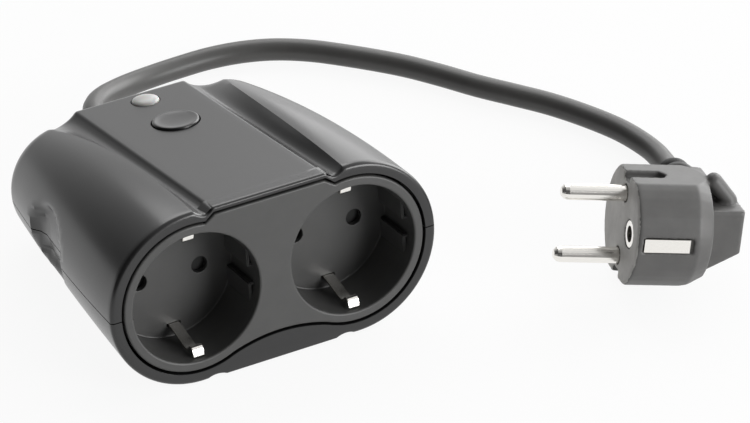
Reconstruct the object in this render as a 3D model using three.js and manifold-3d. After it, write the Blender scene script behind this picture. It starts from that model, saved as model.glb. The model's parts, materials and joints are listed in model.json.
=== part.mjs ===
// Two-way smart power strip: a wedge-shaped housing with two side-earthed sockets
// on its leaning front, a button and a light on top, and a short lead to an angled plug.
// Units are millimetres, +Z is up and the sockets look towards -Y.
import * as THREE from 'three';
import * as BufferGeometryUtils from 'three/addons/utils/BufferGeometryUtils.js';
import Module from 'manifold-3d';

const wasm = await Module();
wasm.setup();

// Driving dimensions of the housing
const lean = THREE.MathUtils.degToRad(7); // the front leans back by this much
const pitch = 49.4; // distance between the two socket axes
const depth = 91; // front edge to back wall
const lobeFront = 26.5; // radius of each round end at the front
const lobeTaper = 0.042; // how fast that radius shrinks with depth
const lobeCurve = 0.00073; // and how that quickens towards the back
const bandHalf = 18.3; // half width of the flat band on top
const bandHeight = 26.4; // band above the socket axes at the front
const bandSlope = 0.0745; // fall of the band towards the back
const grooveFront = 2.0; // groove below the band, at the front
const grooveBack = 2.7; // and at the back
const wall = 1.7; // shell thickness
const edgeFront = 1.2; // rounding of the front edge
const edgeBack = 8.0; // rounding of the round ends at the back
const edgeBandBack = 2.6; // rounding of the band at the back
const gap = 0.3; // clearance between parts that touch
const partingHeight = 0; // the two shells meet at the socket axes

// Front panel and its two recesses
const panelRadius = 22.4;
const panelTop = 24.1;
const panelShoulder = 17.2;
const waistHeight = 17.7;
const waistRadius = 45.5;
const panelGap = 0.7; // dark line between panel and shell
const panelThick = 2.4;
const panelBead = 0.6;
const lipDepth = 5.2; // how deep the shell's front lip is
const flangeOver = 1.3; // the panel's flange behind that lip
const flangeThick = 1.6;
const recessRadius = 19.66;
const recessDepth = 17.5;
const recessWall = 1.2;
const recessFloor = 2.0;
const recessEdge = 0.8;
const pinPitch = 19;
const pinHole = 2.65;
const keyChord = 17.8; // inner face of the side keys, from the socket axis
const keyHalf = 10;
const keySlot = 2.5;
const keyThick = 0.9;
const keyStart = 3.8;
const clipHalf = 17.1; // contact points of the earth clips, from the socket axis
const clipDepth = 2.9;
const clipRoot = 16.0;
const clipWidth = 4.0;
const sheet = 0.8; // contact metal

// Inner works
const shutterThick = 2.0;
const shutterHalf = 12.6;
const shutterTop = 3.1;
const shutterBottom = 5.2;
const shutterTravel = 5.6;
const springRadius = 1.1;
const springWire = 0.4;
const springTurns = 4;
const troughWall = 1.5;
const troughKnee = 9.0;
const troughFloor = 13.7;
const carrierDepth = 31;
const carrierThick = 2.0;
const carrierRadius = 15;
const boardHeight = 8.0;
const boardThick = 1.6;
const boardHalf = 30.4;
const boardFront = 40;
const boardBack = 86;
const screwRadius = 1.4;
const bossRadius = 2.7;

// Button, light and lead
const buttonAcross = 1.8;
const buttonDepth = 62.5;
const buttonRadius = 6.9;
const buttonGap = 0.4;
const buttonRise = 0.7;
const buttonTravel = 0.6;
const lensDepth = 82.5;
const lensRadius = 4.1;
const lensRise = 1.3;
const cordRadius = 3.5;
const reliefLength = 18;
const reliefRadius = 6.2;

// Plug
const plugRadius = 17.6;
const plugFlat = 15.45; // flats on the sides that meet the keys
const plugTaper = 18.5; // the round part tapers from here
const plugBack = 23; // and ends here
const plugPin = 2.4;
const plugPinLength = 19;
const plugBlockBack = 33.5;
const plugBlockHalf = 10;
const plugLedge = 8; // height of the step below the pull rib
const plugRibRadius = 2.5;
const plugRibTop = [-25.3, 14.6]; // ends of the pull rib on the rear slope
const plugRibFoot = [-30.5, 8.9];
const plugRibAcross = 2;
const plugStem = 28; // the lead leaves sideways at this distance behind the face
const plugStemStart = 7;
const plugStemEnd = 46;
const plugSleeveStart = 7.4; // radius of the first ring of the sleeve
const plugSleeveEnd = 5.2;
const plugSleeveTip = 4.6;

const round = 40; // facets round a large circle
const arcFacets = 10; // half the facets of each arc in the panel's outline

// Turns any closed geometry into one with shared corners, no slivers and outward faces.
function tidy(source) {
  let geometry = source.clone();
  geometry.deleteAttribute('normal');
  geometry.deleteAttribute('uv');
  geometry = BufferGeometryUtils.mergeVertices(geometry, 1e-4);
  const spot = geometry.attributes.position;
  const index = geometry.index.array;
  const kept = [];
  let volume = 0;
  const a = new THREE.Vector3();
  const b = new THREE.Vector3();
  const c = new THREE.Vector3();
  for (let i = 0; i < index.length; i += 3) {
    const [p, q, r] = [index[i], index[i + 1], index[i + 2]];
    if (p === q || q === r || r === p) continue;
    kept.push(p, q, r);
    a.fromBufferAttribute(spot, p);
    b.fromBufferAttribute(spot, q);
    c.fromBufferAttribute(spot, r);
    volume += a.dot(b.cross(c));
  }
  if (volume < 0) kept.reverse();
  geometry.setIndex(kept);
  return geometry;
}

function toSolid(source) {
  const geometry = tidy(source);
  return new wasm.Manifold(new wasm.Mesh({
    numProp: 3,
    vertProperties: new Float32Array(geometry.attributes.position.array),
    triVerts: new Uint32Array(geometry.index.array),
  }));
}

function toGeometry(solid) {
  const mesh = solid.getMesh();
  const geometry = new THREE.BufferGeometry();
  geometry.setAttribute('position', new THREE.BufferAttribute(new Float32Array(mesh.vertProperties), 3));
  geometry.setIndex(new THREE.BufferAttribute(new Uint32Array(mesh.triVerts), 1));
  return geometry;
}

const join = (...shapes) => toGeometry(shapes.map(toSolid).reduce((all, next) => all.add(next)));
const cut = (body, ...tools) => toGeometry(tools.map(toSolid).reduce((rest, tool) => rest.subtract(tool), toSolid(body)));
const overlap = (one, other) => toGeometry(toSolid(one).intersect(toSolid(other)));

// Extrusions: across the face into the depth, along the width, and straight up.
function intoDepth(shape, from, to, facets = 12) {
  const geometry = new THREE.ExtrudeGeometry(shape, { depth: to - from, bevelEnabled: false, curveSegments: facets });
  geometry.rotateX(Math.PI / 2);
  geometry.translate(0, to, 0);
  return tidy(geometry);
}

function alongWidth(shape, from, to, facets = 8) {
  const geometry = new THREE.ExtrudeGeometry(shape, { depth: to - from, bevelEnabled: false, curveSegments: facets });
  const axes = new THREE.Matrix4().makeBasis(
    new THREE.Vector3(0, 1, 0),
    new THREE.Vector3(0, 0, 1),
    new THREE.Vector3(1, 0, 0),
  );
  geometry.applyMatrix4(axes);
  geometry.translate(from, 0, 0);
  return tidy(geometry);
}

function upwards(shape, from, to, facets = 8) {
  const geometry = new THREE.ExtrudeGeometry(shape, { depth: to - from, bevelEnabled: false, curveSegments: facets });
  geometry.translate(0, 0, from);
  return tidy(geometry);
}

const outline = (points) => new THREE.Shape(points.map(([x, y]) => new THREE.Vector2(x, y)));
const turned = (points, facets = round) => tidy(new THREE.LatheGeometry(points.map(([x, y]) => new THREE.Vector2(x, y)), facets));
const moved = (geometry, x, y, z) => geometry.clone().translate(x, y, z);

function block(x0, x1, y0, y1, z0, z1) {
  const geometry = new THREE.BoxGeometry(x1 - x0, y1 - y0, z1 - z0);
  return tidy(geometry.translate((x0 + x1) / 2, (y0 + y1) / 2, (z0 + z1) / 2));
}

// A round bar along the depth, and one standing upright.
const barIn = (radius, x, z, from, to, facets = 24) => moved(
  turned([[0, from], [radius, from], [radius, to], [0, to]], facets), x, 0, z);

function post(radius, x, y, from, to, facets = 12) {
  const geometry = new THREE.CylinderGeometry(radius, radius, to - from, facets);
  geometry.rotateX(Math.PI / 2);
  return tidy(geometry.translate(x, y, (from + to) / 2));
}

function tube(points, radius, sides = 4, steps = 14) {
  const path = new THREE.CatmullRomCurve3(points.map((p) => new THREE.Vector3(...p)), false, 'centripetal');
  const section = new THREE.Shape();
  section.absarc(0, 0, radius, 0, Math.PI * 2);
  const options = { steps, bevelEnabled: false, extrudePath: path, curveSegments: sides };
  return tidy(new THREE.ExtrudeGeometry(section, options));
}

const model = new THREE.Group();
const housing = new THREE.Group();
housing.rotation.x = -lean;
model.add(housing);

const finishes = {
  shell: { color: 0x2c2c2e, roughness: 0.42, metalness: 0 },
  panel: { color: 0x303032, roughness: 0.45, metalness: 0 },
  inner: { color: 0x8d8f92, roughness: 0.6, metalness: 0 },
  brass: { color: 0xc9a24a, roughness: 0.35, metalness: 1 },
  nickel: { color: 0xd6d4cf, roughness: 0.25, metalness: 1 },
  steel: { color: 0x9a9a9c, roughness: 0.35, metalness: 1 },
  board: { color: 0x1f5a35, roughness: 0.5, metalness: 0 },
  relay: { color: 0x2a5f9e, roughness: 0.5, metalness: 0 },
  dark: { color: 0x1b1b1c, roughness: 0.6, metalness: 0 },
  copper: { color: 0xb06a3a, roughness: 0.4, metalness: 1 },
  lens: { color: 0xf2f1ec, roughness: 0.3, metalness: 0 },
  rubber: { color: 0x29292a, roughness: 0.65, metalness: 0 },
  plug: { color: 0x38383a, roughness: 0.5, metalness: 0 },
  live: { color: 0x6b3f22, roughness: 0.6, metalness: 0 },
  neutral: { color: 0x2e62a8, roughness: 0.6, metalness: 0 },
  earth: { color: 0x8fae32, roughness: 0.6, metalness: 0 },
};

function add(group, name, geometry, finish) {
  const ready = tidy(geometry);
  ready.computeVertexNormals();
  const mesh = new THREE.Mesh(ready, new THREE.MeshStandardMaterial(finishes[finish]));
  mesh.name = name;
  group.add(mesh);
  return mesh;
}

// Section of the housing at a depth: one half, from the middle of the top round to
// the middle of the underside. The skins are how far each zone lies inside the surface.
const lobeRadius = (d) => lobeFront - lobeTaper * d - lobeCurve * d * d;
const baseLine = (d) => -lobeFront + Math.tan(lean) * d;
const bandLine = (d) => bandHeight - bandSlope * d;
const between = (from, to, share) => from + (to - from) * share;
const creaseFront = 23.4; // where each round end starts beside its groove
const creaseBack = 29.6;
const valleyFront = 20.9;
const valleyBack = 21.9;
const bandEdge = 1.3; // soft edge of the band
const baseHalf = 17.4; // flat of the underside
const baseGroove = 0.8;
const baseValley = 20.4;
const lobeSteps = 24;
const innerSteps = 12;

function halfSection(d, lobeSkin, bandSkin, baseSkin, steps) {
  const share = d / depth;
  const half = pitch / 2;
  const radius = lobeRadius(d) - lobeSkin;
  const centre = baseLine(d) + lobeRadius(d);
  const band = bandLine(d) - bandSkin;
  const valley = between(valleyFront, valleyBack, share);
  const low = band - between(grooveFront, grooveBack, share);
  const crease = between(creaseFront, creaseBack, share ** 3);
  const base = baseLine(d) + baseSkin;
  const points = [[0, band], [bandHalf * 0.5, band]];
  for (const turn of [0, 25, 50]) {
    const angle = THREE.MathUtils.degToRad(turn);
    points.push([bandHalf - bandEdge + bandEdge * Math.sin(angle), band - bandEdge + bandEdge * Math.cos(angle)]);
  }
  points.push([valley - 0.7, low + 0.45], [valley, low], [valley + 0.8, low + 0.15]);
  const start = Math.acos((crease - half) / radius);
  const end = -Math.PI / 2 - 0.06;
  for (let i = 0; i <= steps; i += 1) {
    const angle = between(start, end, i / steps);
    points.push([half + radius * Math.cos(angle), centre + radius * Math.sin(angle)]);
  }
  points.push([baseValley, base + baseGroove], [baseHalf, base], [0, base]);
  return points;
}

function sectionRing(d, lobeSkin, bandSkin, baseSkin, steps) {
  const right = halfSection(d, lobeSkin, bandSkin, baseSkin, steps);
  const left = right.slice(1, -1).reverse().map(([u, v]) => [-u, v]);
  return [...right, ...left].map(([u, v]) => new THREE.Vector3(u, d, v));
}

// Skins through a list of rings, with flat ends.
function loft(rings) {
  const count = rings[0].length;
  const corners = rings.flat();
  const index = [];
  for (let r = 0; r + 1 < rings.length; r += 1) {
    for (let i = 0; i < count; i += 1) {
      const j = (i + 1) % count;
      const [a, b, c, d] = [r * count + i, r * count + j, (r + 1) * count + i, (r + 1) * count + j];
      index.push(a, b, d, a, d, c);
    }
  }
  const ends = [[0, false], [rings.length - 1, true]];
  for (const [r, front] of ends) {
    const flat = rings[r].map((p) => new THREE.Vector2(p.x, p.z));
    for (const [a, b, c] of THREE.ShapeUtils.triangulateShape(flat, [])) {
      const face = front ? [a, c, b] : [a, b, c];
      index.push(...face.map((k) => r * count + k));
    }
  }
  const geometry = new THREE.BufferGeometry();
  geometry.setAttribute('position', new THREE.BufferAttribute(new Float32Array(corners.flatMap((p) => p.toArray())), 3));
  geometry.setIndex(index);
  return tidy(geometry);
}

const roundOff = (run, radius) => (run <= 0 ? 0 : radius - Math.sqrt(Math.max(radius * radius - run * run, 0)));

function housingBody(skin, from, rings) {
  const back = depth - skin;
  const places = rings.filter((d) => d > from && d < back);
  const rim = skin === 0 ? [0, 0.35] : [from];
  return loft([...rim, ...places, back].map((d) => {
    const front = skin === 0 ? roundOff(edgeFront - d, edgeFront) : 0;
    const lobe = roundOff(d - (depth - edgeBack), edgeBack - skin);
    const band = roundOff(d - (depth - edgeBandBack), edgeBandBack - Math.min(skin, edgeBandBack - 0.4));
    return sectionRing(d, skin + front + lobe, skin + front + band, skin + front + band, skin > 0 ? innerSteps : lobeSteps);
  }));
}

const longStations = [edgeFront, 15, 30, 44, 57, 68, 76, 83, 85.8, 88, 89.5, 90.6];
const outer = housingBody(0, 0, longStations);
const cavityFront = lipDepth - 0.2;
const cavity = housingBody(wall, cavityFront, [24, 44, 60, 74, 83, 87]);

// Finger grips pressed into both ends.
const gripDepth = 52;
const gripBite = 3.0;
const gripBulge = 11;
const gripLong = 19;
const gripTall = 40;
function grip(side, extra) {
  const geometry = new THREE.SphereGeometry(1, 40, 22);
  geometry.scale(gripBulge + extra, gripLong + extra, gripTall + extra);
  const reach = pitch / 2 + lobeRadius(gripDepth) + gripBulge - gripBite;
  const height = baseLine(gripDepth) + lobeRadius(gripDepth);
  return geometry.translate(side * reach, gripDepth, height);
}

// Outline of the front panel, grown by an offset.
function panelOutline(grow) {
  const half = pitch / 2;
  const radius = panelRadius + grow;
  const top = panelTop + grow;
  const waist = waistHeight + grow;
  const shoulder = panelShoulder + grow * 0.4;
  const joinTop = Math.PI - Math.acos(4.47 / radius);
  const shape = new THREE.Shape();
  const bendRadius = waistRadius - grow;
  const rootHalf = 16.4;
  const rootAngle = Math.asin(rootHalf / bendRadius);
  const bendCentre = -waist - bendRadius;
  const rootHeight = bendCentre + bendRadius * Math.cos(rootAngle);
  const joinLow = Math.atan2(rootHeight, rootHalf - half);
  shape.moveTo(-shoulder, top);
  shape.lineTo(shoulder, top);
  shape.absarc(half, 0, radius, joinTop, joinLow, true);
  shape.absarc(0, bendCentre, bendRadius, Math.PI / 2 - rootAngle, Math.PI / 2 + rootAngle, false);
  shape.absarc(-half, 0, radius, Math.PI - joinLow, Math.PI - joinTop, true);
  return shape;
}

const opening = intoDepth(panelOutline(panelGap), -1, lipDepth, arcFacets);
const shellSkin = cut(cut(outer, grip(1, 0), grip(-1, 0)),
  cut(cavity, grip(1, wall), grip(-1, wall)), opening);
const wide = 200;
const upperZone = block(-wide, wide, -wide, wide, partingHeight + gap / 2, wide);
const lowerZone = block(-wide, wide, -wide, wide, -wide, partingHeight - gap / 2);
const innerZone = overlap(outer, block(-wide, wide, 1, depth - 1, -wide, wide));

// Screw posts: the housing screws pull the two shells together, the board sits on four posts.
const shellScrews = [[-34.5, 44], [34.5, 44], [-34, 73], [34, 73]];
const boardScrews = [[-26, 47], [26, 47], [-26, 70], [26, 70]];
const screwSeat = 6; // the heads sit this far above the underside
const headRadius = 2.8;
const seatHeight = (y) => baseLine(y) + screwSeat;
const clampDepth = 80;
const clampHalf = 8;
const cordHeight = 0;
const neckRadius = 4.6;

const upperPosts = shellScrews.map(([x, y]) => post(bossRadius, x, y, gap / 2, 40));
const upperHoles = shellScrews.map(([x, y]) => post(screwRadius - 0.1 + gap, x, y, -1, 9));
const lowerPosts = shellScrews.map(([x, y]) => post(bossRadius + 1, x, y, -40, -gap / 2));
const boardPosts = boardScrews.map(([x, y]) => post(bossRadius, x, y, -40, boardHeight - gap));
const clampPosts = [-1, 1].map((side) => post(bossRadius, side * clampHalf, clampDepth, -40, -cordRadius - gap));
const saddle = block(-clampHalf, clampHalf, clampDepth - 1.2, clampDepth + 1.2, -40, -cordRadius - gap);
const lowerHoles = shellScrews.flatMap(([x, y]) => [
  post(screwRadius + gap, x, y, -40, 5),
  post(headRadius + gap, x, y, -60, seatHeight(y)),
]);
const boardHoles = boardScrews.map(([x, y]) => post(screwRadius + gap, x, y, boardHeight - 9, boardHeight + 1));
const clampHoles = [-1, 1].map((side) => post(screwRadius + gap, side * clampHalf, clampDepth, -12, 0));
const backHole = barIn(neckRadius + gap, 0, cordHeight, depth - wall - 6, depth + 3, 32);
const buttonTilt = Math.atan(bandSlope);

// Button and lens stand square to the sloping band.
function onBand(geometry, x, y) {
  const ready = geometry.clone();
  ready.rotateX(Math.PI / 2 - buttonTilt);
  return ready.translate(x, y, bandLine(y));
}
const buttonHole = onBand(turned([[0, -8], [buttonRadius + buttonGap, -8], [buttonRadius + buttonGap, 5], [0, 5]], 40), buttonAcross, buttonDepth);
const lensHole = onBand(turned([[0, -8], [lensRadius + gap, -8], [lensRadius + gap, 5], [0, 5]], 32), buttonAcross, lensDepth);

const upperSolid = join(overlap(shellSkin, upperZone), ...upperPosts.map((p) => overlap(p, innerZone)));
add(housing, 'upper_shell', cut(upperSolid, ...upperHoles, backHole, buttonHole, lensHole), 'shell');
const lowerInside = [...lowerPosts, ...boardPosts, ...clampPosts, saddle].map((p) => overlap(p, innerZone));
const lowerSolid = join(overlap(shellSkin, lowerZone), ...lowerInside);
add(housing, 'lower_shell', cut(lowerSolid, ...lowerHoles, ...boardHoles, ...clampHoles, backHole), 'shell');

// Front panel: plate with a bead edge, a flange behind the lip and two recess cups
const cupOuter = recessRadius + recessWall;
const cupBack = recessDepth + recessFloor;
const half = pitch / 2;
const sockets = [-half, half];
const plateShape = panelOutline(-panelBead);
const plate = new THREE.ExtrudeGeometry(plateShape, {
  depth: panelThick - 2 * panelBead,
  bevelEnabled: true,
  bevelSegments: 2,
  bevelSize: panelBead,
  bevelThickness: panelBead,
  curveSegments: arcFacets,
});
plate.rotateX(Math.PI / 2);
plate.translate(0, panelThick - panelBead, 0);
const flangeFront = lipDepth + gap;
const skirtInside = intoDepth(panelOutline(-2), panelThick, flangeFront + flangeThick + 1, arcFacets);
const flange = cut(overlap(intoDepth(panelOutline(flangeOver + panelGap), flangeFront, flangeFront + flangeThick, arcFacets),
  housingBody(wall + 2 * gap, 1, [24, 44])), skirtInside);
const skirt = cut(intoDepth(panelOutline(0), panelBead, flangeFront + flangeThick, arcFacets), skirtInside);
const cups = sockets.map((x) => barIn(cupOuter, x, 0, panelBead, cupBack, round));
const recess = turned([
  [0, -1], [recessRadius + recessEdge, -1], [recessRadius + recessEdge, 0],
  [recessRadius + recessEdge * 0.3, recessEdge * 0.3], [recessRadius, recessEdge],
  [recessRadius, recessDepth], [0, recessDepth],
]);

// Side keys: two angle-shaped fins on each side, which run out to the round wall.
function keyFin(side, up) {
  const out = recessRadius + 0.5;
  const points = [
    [keyChord, keySlot], [keyChord, keyHalf], [keyChord + keyThick, keyHalf],
    [keyChord + keyThick, keySlot + keyThick], [out, keySlot + keyThick], [out, keySlot],
  ];
  const shape = outline(points.map(([x, y]) => [side * x, up * y]));
  return intoDepth(shape, keyStart, recessDepth + 0.5);
}
const fins = [-1, 1].flatMap((side) => [-1, 1].map((up) => keyFin(side, up)));
const clipSlot = (up) => block(-clipWidth / 2 - gap, clipWidth / 2 + gap, recessDepth - 1, cupBack + 1,
  up * clipRoot - sheet / 2 - gap, up * clipRoot + sheet / 2 + gap);
const carrierPosts = [[0, 12.2], [0, -12.2]];
const panelBosses = carrierPosts.map(([x, z]) => barIn(bossRadius - 0.1, x, z, panelThick - 1, carrierDepth - gap, 20));
const bossHoles = carrierPosts.map(([x, z]) => barIn(screwRadius + gap, x, z, carrierDepth - 14, carrierDepth + 1, 16));

let panel = join(plate, skirt, flange, ...cups, ...panelBosses);
panel = cut(panel, ...sockets.map((x) => moved(recess, x, 0, 0)), ...bossHoles);
panel = join(panel, ...sockets.flatMap((x) => fins.map((fin) => moved(fin, x, 0, 0))));
const pinHoles = sockets.flatMap((x) => [-1, 1].map((s) => barIn(pinHole, x + s * pinPitch / 2, 0, recessDepth - 1, cupBack + 1, 24)));
const clipSlots = sockets.flatMap((x) => [-1, 1].map((up) => moved(clipSlot(up), x, 0, 0)));
add(housing, 'front_panel', cut(panel, ...pinHoles, ...clipSlots), 'panel');

// Child-protection shutters: a plate behind the pin holes that is pushed down
// against a coil spring when both pins press on its ramps.
const shutterFront = cupBack + gap;
function shutterPlate() {
  const foot = 3.2;
  const shape = outline([
    [-shutterHalf, shutterTop], [-shutterHalf, -shutterTop + 0.1], [-foot, -shutterBottom],
    [foot, -shutterBottom], [shutterHalf, -shutterTop + 0.1], [shutterHalf, shutterTop],
  ]);
  const body = intoDepth(shape, shutterFront, shutterFront + shutterThick);
  const ramp = alongWidth(outline([
    [shutterFront - 1, shutterTop + 1], [shutterFront - 1, 0.4], [shutterFront + shutterThick * 0.7, shutterTop + 1],
  ]), -2.9, 2.9);
  return cut(body, moved(ramp, -pinPitch / 2, 0, 0), moved(ramp, pinPitch / 2, 0, 0));
}
function coilSpring(x, y, from, to) {
  class Helix extends THREE.Curve {
    getPoint(t, target = new THREE.Vector3()) {
      const angle = t * springTurns * Math.PI * 2;
      const wire = springWire / 2;
      return target.set(x + springRadius * Math.cos(angle), y + springRadius * Math.sin(angle),
        between(from + wire, to - wire, t));
    }
  }
  const section = new THREE.Shape();
  section.absarc(0, 0, springWire / 2, 0, Math.PI * 2);
  const options = { steps: springTurns * 10, bevelEnabled: false, extrudePath: new Helix(), curveSegments: 3 };
  return tidy(new THREE.ExtrudeGeometry(section, options));
}
const springDepth = shutterFront + springRadius + springWire / 2 + 0.1;
for (const [side, x] of [['left', -half], ['right', half]]) {
  add(housing, `shutter_${side}`, moved(shutterPlate(), x, 0, 0), 'inner');
  const coil = coilSpring(x, springDepth, -troughFloor + gap, -shutterBottom - gap);
  add(housing, `shutter_spring_${side}`, coil, 'steel');
}

const strapDepth = shutterFront + shutterThick + 1.0; // the earth straps pass just behind the shutters

// Contact carrier: a plate behind the recesses with a trough round each shutter
// and windows for the pin contacts.
function trough() {
  const inner = shutterHalf + gap;
  const outerHalf = inner + troughWall;
  const foot = 3.6;
  const low = troughFloor + troughWall - 0.1;
  return intoDepth(outline([
    [-outerHalf, 5], [-outerHalf, -troughKnee - 0.7], [-foot - 0.6, -low], [foot + 0.6, -low],
    [outerHalf, -troughKnee - 0.7], [outerHalf, 5], [inner, 5], [inner, -troughKnee],
    [foot, -troughFloor], [-foot, -troughFloor], [-inner, -troughKnee], [-inner, 5],
  ]), cupBack + gap, carrierDepth + 0.5);
}
const carrierPlate = new THREE.Shape();
const carrierEnd = 27;
carrierPlate.absarc(carrierEnd, -0.3, carrierRadius, -Math.PI / 2, Math.PI / 2, false);
carrierPlate.absarc(-carrierEnd, -0.3, carrierRadius, Math.PI / 2, Math.PI * 1.5, false);
const windowHalf = 3.1;
const windowTall = 4.3;
const windows = sockets.flatMap((x) => [-1, 1].map((s) => {
  const centre = x + s * pinPitch / 2;
  return block(centre - windowHalf, centre + windowHalf, carrierDepth - 1, carrierDepth + carrierThick + 1, -windowTall, windowTall);
}));
const carrierHoles = carrierPosts.map(([x, z]) => barIn(screwRadius + gap, x, z, carrierDepth - 1, carrierDepth + carrierThick + 1, 16));
const carrier = join(intoDepth(carrierPlate, carrierDepth, carrierDepth + carrierThick, 16),
  ...sockets.map((x) => moved(trough(), x, 0, 0)));
const strapWindows = sockets.map((x) => block(x - clipWidth / 2 - gap, x + clipWidth / 2 + gap,
  strapDepth - gap, strapDepth + sheet + gap, -troughFloor - troughWall - 1, -troughFloor + 1));
add(housing, 'contact_carrier', cut(carrier, ...windows, ...carrierHoles, ...strapWindows), 'inner');

// Line and neutral rails: a strip behind the carrier with two forks that reach
// forward through the windows and grip the plug pins.
const railDepth = carrierDepth + carrierThick + gap;
const forkMouth = shutterFront + shutterThick + 1.6;
function fork() {
  const base = railDepth + sheet;
  const grip = plugPin - 0.1;
  const half0 = 2.6;
  const arm = (up) => outline([
    [base, up * half0], [railDepth - 4, up * half0], [forkMouth + 3, up * grip], [forkMouth, up * (grip + 1)],
    [forkMouth - 0.3, up * (grip + 1 + sheet * 0.9)], [forkMouth + 3, up * (grip + sheet)],
    [railDepth - 4, up * (half0 + sheet)], [base, up * (half0 + sheet)],
  ]);
  return [-1, 1].map((up) => alongWidth(arm(up), -2.5, 2.5));
}
function rail(places, edge) {
  const [first, last] = [Math.min(...places), Math.max(...places)];
  const inner = edge * 5.4;
  const outerEdge = edge * 8.6;
  const strip = block(first - 2.5, last + 2.5, railDepth, railDepth + sheet, Math.min(inner, outerEdge), Math.max(inner, outerEdge));
  const tabs = places.map((x) => block(x - 2.5, x + 2.5, railDepth, railDepth + sheet,
    edge > 0 ? -3.4 : outerEdge, edge > 0 ? outerEdge : 3.4));
  const forks = places.flatMap((x) => fork().map((arm) => moved(arm, x, 0, 0)));
  return join(strip, ...tabs, ...forks);
}
add(housing, 'line_rail', rail([-half - pinPitch / 2, half - pinPitch / 2], 1), 'brass');
add(housing, 'neutral_rail', rail([-half + pinPitch / 2, half + pinPitch / 2], -1), 'brass');

// Earth rail: one folded strip whose four arms come forward through the recess floors
// and end in the sprung contacts beside the rim.
function clipProfile(up) {
  const bump = 1.3;
  const points = [
    [strapDepth + sheet, clipRoot - 3], [strapDepth + sheet, clipRoot + sheet / 2],
    [recessDepth, clipRoot + sheet / 2], [8, clipHalf + 1.3 + sheet], [clipDepth + 2.2, clipHalf + 1.0 + sheet],
    [clipDepth, clipHalf + sheet], [clipDepth - 1.4, clipHalf + bump + 0.5],
    [clipDepth - 2.0, clipHalf + bump], [clipDepth - 0.3, clipHalf], [clipDepth + 0.5, clipHalf],
    [clipDepth + 2.4, clipHalf + 1.0], [8, clipHalf + 1.2],
    [recessDepth, clipRoot - sheet / 2], [strapDepth, clipRoot - sheet / 2], [strapDepth, clipRoot - 3],
  ];
  return outline(points.map(([d, v]) => [d, up * v]));
}
const arms = [-1, 1].map((up) => alongWidth(clipProfile(up), -clipWidth / 2, clipWidth / 2));
const strap = block(-clipWidth / 2, clipWidth / 2, strapDepth, strapDepth + sheet, -clipRoot + 1, clipRoot - 1);
const linkLow = 5.6;
const link = block(-half, half, strapDepth, strapDepth + sheet, linkLow, linkLow + 3);
add(housing, 'earth_rail', join(link, ...sockets.flatMap((x) => [strap, ...arms].map((g) => moved(g, x, 0, 0)))), 'nickel');

// Screws: countersunk or pan heads on plain shanks, fused per group as separate solids.
function screwUp(x, y, seat, length, flip = 1) {
  const head = 1.6;
  const profile = [[0, -head * 0.9], [headRadius * 0.75, -head * 0.9], [headRadius, -head * 0.4], [headRadius, 0],
    [screwRadius, 0], [screwRadius, length], [0, length]];
  const geometry = turned(profile, 10);
  geometry.rotateX(flip > 0 ? Math.PI / 2 : -Math.PI / 2);
  return geometry.translate(x, y, seat);
}
const boardTop = boardHeight + boardThick;
shellScrews.forEach(([x, y], i) => {
  add(housing, `housing_screw_${i + 1}`, screwUp(x, y, seatHeight(y) - gap, 6 - seatHeight(y)), 'steel');
});
boardScrews.forEach(([x, y], i) => {
  add(housing, `board_screw_${i + 1}`, screwUp(x, y, boardTop + gap, 7.5, -1), 'steel');
});
carrierPosts.forEach(([x, z], i) => {
  const seat = carrierDepth + carrierThick + gap;
  const profile = [[0, seat + 1.4], [2, seat + 1.4], [headRadius - 0.2, seat + 0.6], [headRadius - 0.2, seat],
    [screwRadius, seat], [screwRadius, seat - 13], [0, seat - 13]];
  add(housing, `carrier_screw_${i + 1}`, moved(turned(profile, 10), x, 0, z), 'steel');
});

// Circuit board with its parts
const boardShape = outline([
  [-boardHalf, boardFront], [boardHalf, boardFront], [boardHalf, boardBack - 8], [boardHalf - 8, boardBack],
  [-boardHalf + 8, boardBack], [-boardHalf, boardBack - 8],
]);
const boardPlate = upwards(boardShape, boardHeight, boardTop);
const boardCuts = boardScrews.map(([x, y]) => post(screwRadius + gap, x, y, boardHeight - 1, boardTop + 1));
add(housing, 'circuit_board', cut(boardPlate, ...boardCuts), 'board');

function caseBox(x, y, long, deep, from, to, soft = 1) {
  const shape = new THREE.Shape();
  const [a, b] = [long / 2, deep / 2];
  shape.moveTo(-a + soft, -b);
  shape.lineTo(a - soft, -b);
  shape.absarc(a - soft, -b + soft, soft, -Math.PI / 2, 0, false);
  shape.absarc(a - soft, b - soft, soft, 0, Math.PI / 2, false);
  shape.absarc(-a + soft, b - soft, soft, Math.PI / 2, Math.PI, false);
  shape.absarc(-a + soft, -b + soft, soft, Math.PI, Math.PI * 1.5, false);
  return moved(upwards(shape, from, to, 3), x, y, 0);
}
const under = boardHeight - gap;
add(housing, 'relay', caseBox(-16, 58, 15.5, 19, under - 15, under), 'relay');
add(housing, 'capacitor', caseBox(14, 50, 17, 7.5, under - 12.5, under, 1.6), 'dark');
const choke = new THREE.TorusGeometry(5, 2.4, 10, 24);
add(housing, 'choke', tidy(choke.translate(16, 65, under - 2.4)), 'copper');
add(housing, 'radio_module', join(caseBox(-13, 62, 16, 20, boardTop + gap, boardTop + gap + 1, 0.6),
  caseBox(-13, 60, 13, 14, boardTop + gap + 0.8, boardTop + gap + 3.2, 0.8)), 'steel');

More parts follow.
